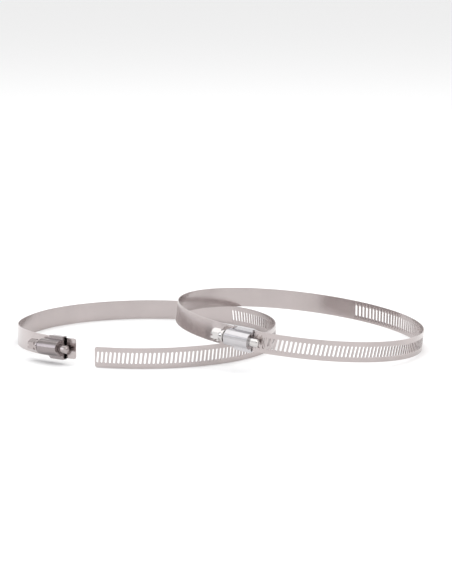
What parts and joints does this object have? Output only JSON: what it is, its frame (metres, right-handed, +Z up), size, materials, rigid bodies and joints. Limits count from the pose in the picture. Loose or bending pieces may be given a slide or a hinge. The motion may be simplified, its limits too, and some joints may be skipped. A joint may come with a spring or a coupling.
{
  "type": "hose clamp",
  "caption": "Pair of slotted-band worm-drive clamps for round flexible air duct, one opened flat on the ground and one closed and leaning across it.",
  "frame": {"origin": "middle of the footprint at floor height", "axes": "+X to the right along both clamps, +Y to the back, +Z up"},
  "size_m": [0.2603, 0.1799, 0.0305],
  "materials": {
    "strap_steel": "bright rolled stainless strip, satin with soft reflections",
    "housing_steel": "bright pressed stainless sheet",
    "screw_steel": "bright plated screw"
  },
  "bodies": {
    "open_end": {"open_housing": "housing_steel", "open_saddle": "strap_steel", "open_strap_1": "strap_steel"},
    "open_screw": {"open_screw": "screw_steel"},
    "open_strap_2": {"open_strap_2": "strap_steel"},
    "open_strap_3": {"open_strap_3": "strap_steel"},
    "open_strap_4": {"open_strap_4": "strap_steel"},
    "closed_end": {"closed_housing": "housing_steel", "closed_saddle": "strap_steel", "closed_strap_1": "strap_steel"},
    "closed_screw": {"closed_screw": "screw_steel"},
    "closed_strap_2": {"closed_strap_2": "strap_steel"},
    "closed_strap_3": {"closed_strap_3": "strap_steel"},
    "closed_strap_4": {"closed_strap_4": "strap_steel"}
  },
  "joints": [
    {"name": "open_flex_near", "type": "hinge", "parent": "open_end", "child": "open_strap_2", "pos_m": [-0.12844, 0.02201, 0.00635], "axis": [0, 0, -1], "range_deg": [-1, 3.8], "stiffness_Nm_per_rad": 0.26},
    {"name": "open_flex_far", "type": "hinge", "parent": "open_strap_2", "child": "open_strap_3", "pos_m": [0.00654, 0.06981, 0.00635], "axis": [0, 0, -1], "range_deg": [-1, 3.8], "stiffness_Nm_per_rad": 0.26},
    {"name": "open_flex_free", "type": "hinge", "parent": "open_strap_3", "child": "open_strap_4", "pos_m": [-0.01968, -0.07167, 0.00635], "axis": [0, 0, -1], "range_deg": [-1, 3.8], "stiffness_Nm_per_rad": 0.26},
    {"name": "open_screw_turn", "type": "hinge", "parent": "open_end", "child": "open_screw", "pos_m": [-0.10375, -0.05927, 0.00978], "axis": [0.7605, -0.6489, 0.0227], "continuous": true},
    {"name": "closed_lift_off", "type": "slide", "parent": "open_end", "child": "closed_end", "axis": [0, 0, 1], "range_m": [0, 0.1]},
    {"name": "closed_screw_turn", "type": "hinge", "parent": "closed_end", "child": "closed_screw", "pos_m": [0.01144, -0.08147, 0.01928], "axis": [0.8728, -0.4771, -0.1025], "range_deg": [0, 2701]},
    {"name": "closed_flex_near", "type": "hinge", "parent": "closed_end", "child": "closed_strap_2", "pos_m": [-0.02714, -0.01056, 0.02416], "axis": [-0.1129, 0.007, -0.9936], "range_deg": [0, 5.1]},
    {"name": "closed_flex_far", "type": "hinge", "parent": "closed_strap_2", "child": "closed_strap_3", "pos_m": [0.08815, 0.06051, 0.01157], "axis": [-0.1129, 0.007, -0.9936], "range_deg": [0, 5.1]},
    {"name": "closed_flex_free", "type": "hinge", "parent": "closed_strap_3", "child": "closed_strap_4", "pos_m": [0.0916, -0.07615, 0.01022], "axis": [-0.1129, 0.007, -0.9936], "range_deg": [0, 5.1]}
  ],
  "couplings": [
    {"joint": "open_flex_far", "follows": "open_flex_near", "ratio": 1},
    {"joint": "open_flex_free", "follows": "open_flex_near", "ratio": 1},
    {"joint": "closed_flex_near", "follows": "closed_screw_turn", "ratio": 0.001888},
    {"joint": "closed_flex_far", "follows": "closed_screw_turn", "ratio": 0.001888},
    {"joint": "closed_flex_free", "follows": "closed_screw_turn", "ratio": 0.001888}
  ]
}
